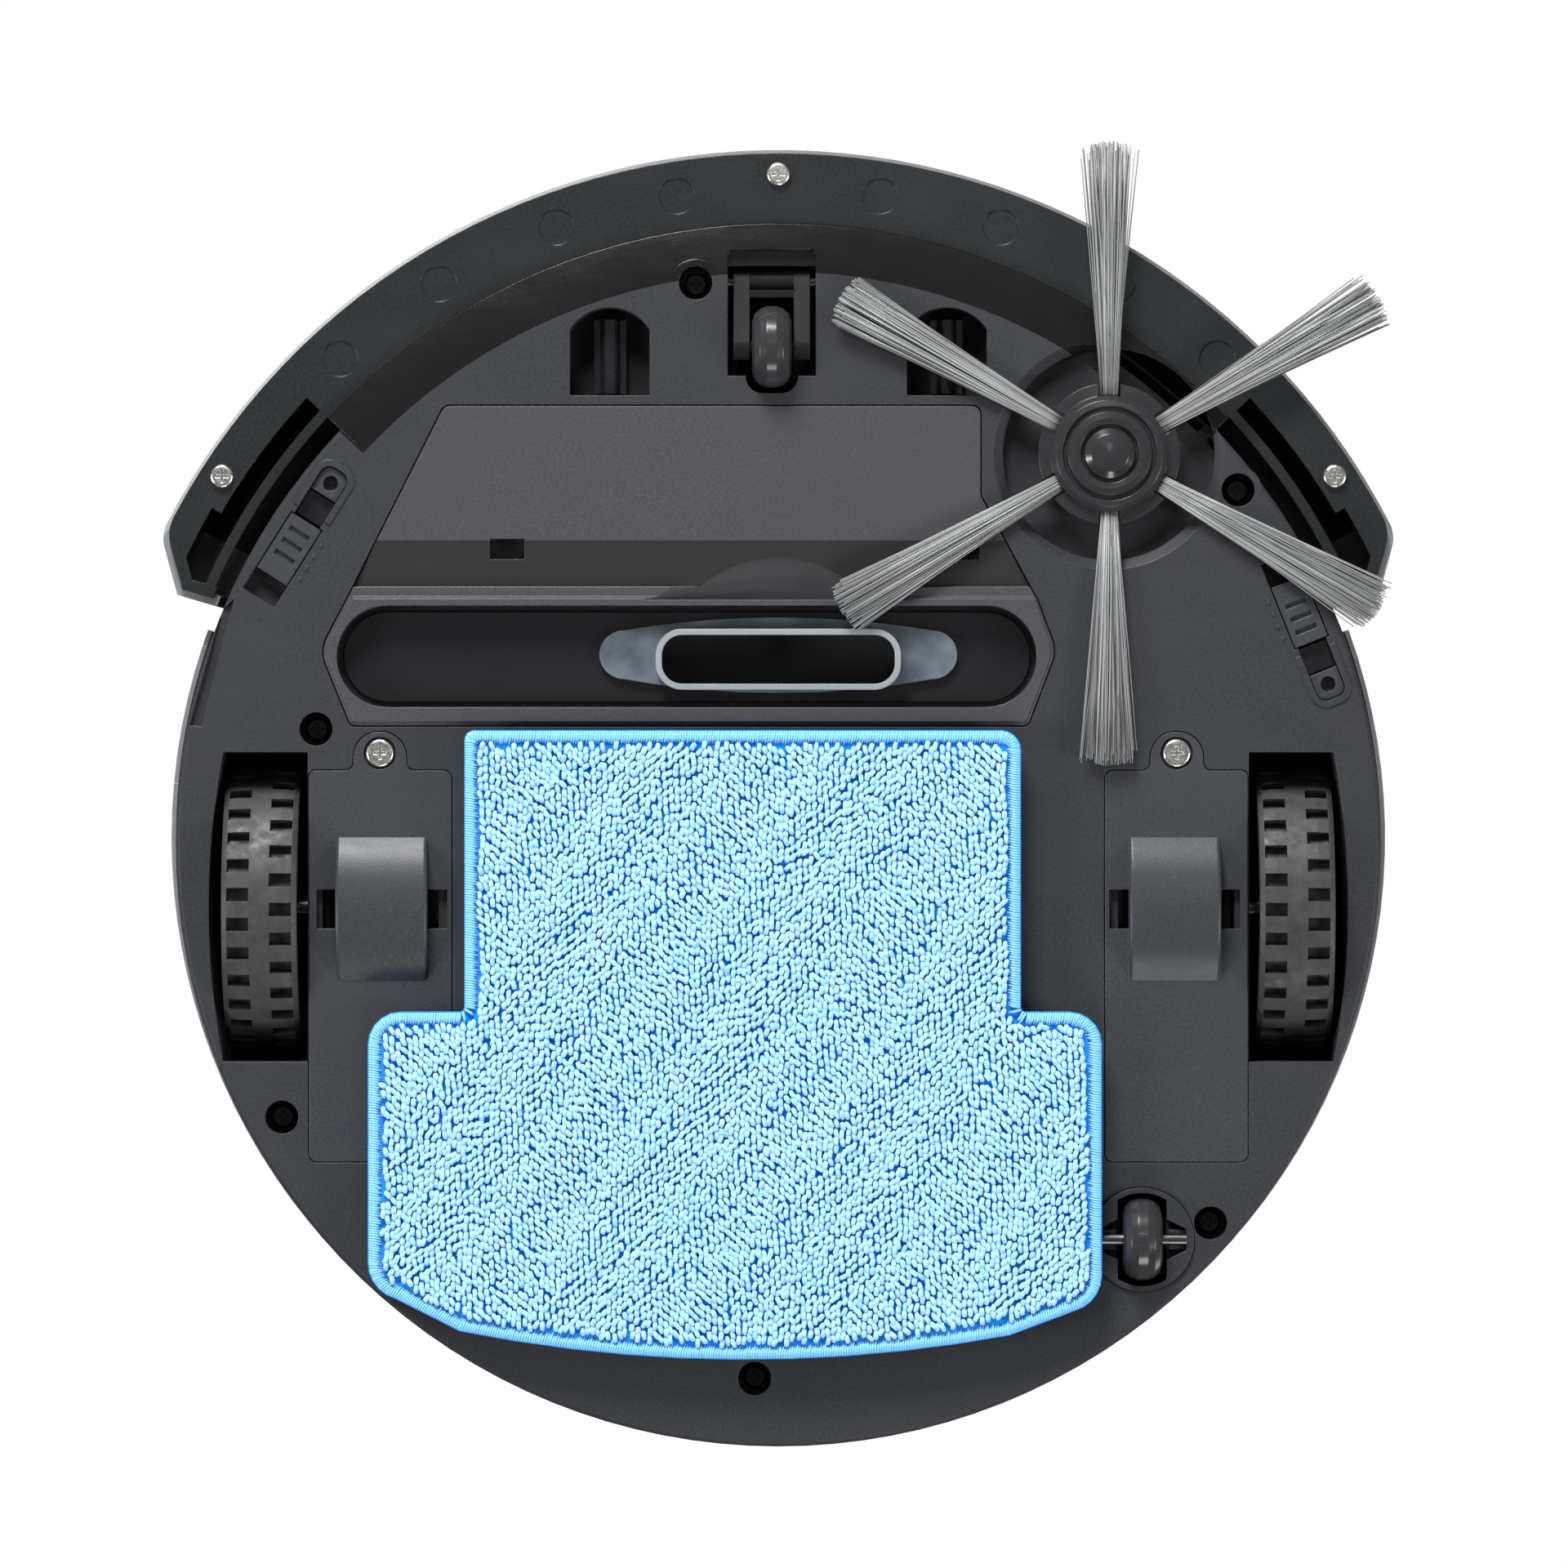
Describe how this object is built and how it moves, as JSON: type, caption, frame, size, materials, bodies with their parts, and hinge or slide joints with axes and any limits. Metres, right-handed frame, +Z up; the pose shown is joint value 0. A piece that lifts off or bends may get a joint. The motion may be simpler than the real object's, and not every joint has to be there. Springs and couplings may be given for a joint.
{
  "type": "robot vacuum",
  "caption": "Round robot vacuum with a sprung bumper, side brush, driven wheels, suction inlet, rear dust drawer and a clip-on microfibre mop pad.",
  "frame": {"origin": "on the floor under the middle of the round body, on the mop pad's underside", "axes": "+Z up, -Y the front (bumper), +X the side of the side brush"},
  "size_m": [0.303, 0.3201, 0.08],
  "materials": {
    "chassis_black": "fine satin grain",
    "shell_pearl": "pearl lacquer",
    "smoked_gloss": "high gloss, smoked",
    "grey_plastic": "satin",
    "nozzle_rubber": "translucent soft rubber",
    "duct_plastic": "matt",
    "screw_steel": "zinc plated",
    "screw_black": "black oxide",
    "tyre_rubber": "matt rubber",
    "white_nylon": "moulded nylon",
    "bronze_bush": "sintered",
    "axle_steel": "ground",
    "motor_steel": "drawn can",
    "bristle": "nylon filament",
    "board_green": "solder mask",
    "battery_sleeve": "shrink sleeve",
    "smoked_clear": "smoked clear",
    "light_white": "diffuser",
    "filter_paper": "pleated paper",
    "mop_microfibre": "looped microfibre",
    "spring_steel": "bright wire"
  },
  "bodies": {
    "chassis": {"base_plate": "chassis_black", "side_shell": "shell_pearl", "top_cover": "smoked_gloss", "inlet_cover": "grey_plastic", "inlet_nozzle": "nozzle_rubber", "inlet_duct": "duct_plastic", "right_drive_cover": "grey_plastic", "left_drive_cover": "grey_plastic", "drive_cover_screws": "screw_steel", "chassis_screws": "screw_black", "infrared_lenses": "smoked_gloss", "cliff_sensor_inserts": "grey_plastic", "drive_gearboxes": "duct_plastic", "axle_bushes": "bronze_bush", "brush_gearbox": "duct_plastic", "gear_motors": "motor_steel", "rear_roller_carrier": "chassis_black", "roller_pins": "axle_steel", "bumper_springs": "spring_steel", "bumper_switches": "smoked_gloss", "fan_housing": "duct_plastic", "main_board": "board_green", "battery_pack": "battery_sleeve", "button_ring_light": "light_white", "infrared_dome": "smoked_clear", "dc_socket": "chassis_black"},
    "bumper": {"bumper_cover": "shell_pearl", "bumper_frame": "chassis_black", "bumper_window": "smoked_gloss", "bumper_screws": "screw_steel"},
    "right_wheel": {"right_tyre": "tyre_rubber", "right_wheel_hub": "duct_plastic", "right_axle": "axle_steel", "right_drive_gear": "white_nylon"},
    "right_idler": {"right_idler_gear": "white_nylon"},
    "right_pinion": {"right_motor_pinion": "white_nylon"},
    "left_wheel": {"left_tyre": "tyre_rubber", "left_wheel_hub": "duct_plastic", "left_axle": "axle_steel", "left_drive_gear": "white_nylon"},
    "left_idler": {"left_idler_gear": "white_nylon"},
    "left_pinion": {"left_motor_pinion": "white_nylon"},
    "side_brush": {"brush_hub": "grey_plastic", "brush_tufts": "bristle", "brush_shaft_gear": "white_nylon"},
    "brush_pinion": {"brush_motor_pinion": "white_nylon"},
    "front_arm": {"front_roller_arm": "chassis_black"},
    "front_wheel": {"front_roller": "tyre_rubber"},
    "rear_wheel": {"rear_roller": "tyre_rubber"},
    "left_shutter": {"left_sensor_shutter": "grey_plastic"},
    "right_shutter": {"right_sensor_shutter": "grey_plastic"},
    "dust_drawer": {"bin_tank": "smoked_clear", "bin_face": "shell_pearl", "bin_filter": "filter_paper"},
    "drawer_release": {"bin_release": "grey_plastic"},
    "fan_wheel": {"impeller": "duct_plastic"},
    "button": {"start_button": "shell_pearl"},
    "power_switch": {"power_rocker": "smoked_gloss"},
    "mop": {"mop_plate": "grey_plastic", "mop_cloth": "mop_microfibre"}
  },
  "joints": [
    {"name": "bumper_push", "type": "slide", "parent": "chassis", "child": "bumper", "axis": [0, 1, 0], "range_m": [0, 0.004], "stiffness_N_per_m": 300, "springref_m": -0.003, "deforming": ["bumper_springs"]},
    {"name": "right_wheel_spin", "type": "hinge", "parent": "chassis", "child": "right_wheel", "pos_m": [0.127, 0.0175, 0.035], "axis": [1, 0, 0], "continuous": true},
    {"name": "right_idler_spin", "type": "hinge", "parent": "chassis", "child": "right_idler", "pos_m": [0.1, 0.0495, 0.035], "axis": [1, 0, 0], "continuous": true},
    {"name": "right_pinion_spin", "type": "hinge", "parent": "chassis", "child": "right_pinion", "pos_m": [0.105, 0.06905, 0.04211], "axis": [1, 0, 0], "continuous": true},
    {"name": "left_wheel_spin", "type": "hinge", "parent": "chassis", "child": "left_wheel", "pos_m": [-0.127, 0.0175, 0.035], "axis": [1, 0, 0], "continuous": true},
    {"name": "left_idler_spin", "type": "hinge", "parent": "chassis", "child": "left_idler", "pos_m": [-0.1, 0.0495, 0.035], "axis": [1, 0, 0], "continuous": true},
    {"name": "left_pinion_spin", "type": "hinge", "parent": "chassis", "child": "left_pinion", "pos_m": [-0.105, 0.06905, 0.04211], "axis": [1, 0, 0], "continuous": true},
    {"name": "side_brush_spin", "type": "hinge", "parent": "chassis", "child": "side_brush", "pos_m": [0.0812, -0.0942, 0.012], "axis": [0, 0, 1], "continuous": true},
    {"name": "brush_pinion_spin", "type": "hinge", "parent": "chassis", "child": "brush_pinion", "pos_m": [0.06878, -0.07982, 0.025], "axis": [0, 0, 1], "continuous": true},
    {"name": "front_arm_swing", "type": "hinge", "parent": "chassis", "child": "front_arm", "pos_m": [-0.0016, -0.137, 0.0178], "axis": [1, 0, 0], "range_deg": [-8, 0], "stiffness_Nm_per_rad": 0.05, "springref_deg": -11.46},
    {"name": "front_roller_spin", "type": "hinge", "parent": "front_arm", "child": "front_wheel", "pos_m": [-0.0016, -0.1205, 0.01], "axis": [1, 0, 0], "continuous": true},
    {"name": "rear_roller_spin", "type": "hinge", "parent": "chassis", "child": "rear_wheel", "pos_m": [0.0893, 0.0986, 0.01], "axis": [1, 0, 0], "continuous": true},
    {"name": "left_shutter_slide", "type": "slide", "parent": "chassis", "child": "left_shutter", "axis": [-0.5344, 0.8453, 0], "range_m": [0, 0.0055]},
    {"name": "right_shutter_slide", "type": "slide", "parent": "chassis", "child": "right_shutter", "axis": [-0.3697, -0.9291, 0], "range_m": [0, 0.0055]},
    {"name": "dust_drawer_slide", "type": "slide", "parent": "chassis", "child": "dust_drawer", "axis": [0, 1, 0], "range_m": [0, 0.12]},
    {"name": "drawer_release_push", "type": "slide", "parent": "dust_drawer", "child": "drawer_release", "axis": [0, -1, 0], "range_m": [0, 0.0025], "stiffness_N_per_m": 500, "springref_m": -0.001},
    {"name": "fan_spin", "type": "hinge", "parent": "chassis", "child": "fan_wheel", "pos_m": [0, -0.004, 0.05], "axis": [0, 0, 1], "continuous": true},
    {"name": "start_button_press", "type": "slide", "parent": "chassis", "child": "button", "axis": [0, 0, -1], "range_m": [0, 0.0014], "stiffness_N_per_m": 500, "springref_m": -0.001},
    {"name": "power_rocker_tip", "type": "hinge", "parent": "chassis", "child": "power_switch", "pos_m": [-0.14355, -0.02376, 0.044], "axis": [0, 0, 1], "range_deg": [0, 16]},
    {"name": "mop_detach", "type": "slide", "parent": "chassis", "child": "mop", "axis": [0, 0, -1], "range_m": [0, 0.0052]}
  ],
  "couplings": [
    {"joint": "right_idler_spin", "follows": "right_wheel_spin", "ratio": -4.3333},
    {"joint": "right_pinion_spin", "follows": "right_wheel_spin", "ratio": 14.444},
    {"joint": "left_idler_spin", "follows": "left_wheel_spin", "ratio": -4.3333},
    {"joint": "left_pinion_spin", "follows": "left_wheel_spin", "ratio": 14.444},
    {"joint": "brush_pinion_spin", "follows": "side_brush_spin", "ratio": -2.1667}
  ]
}
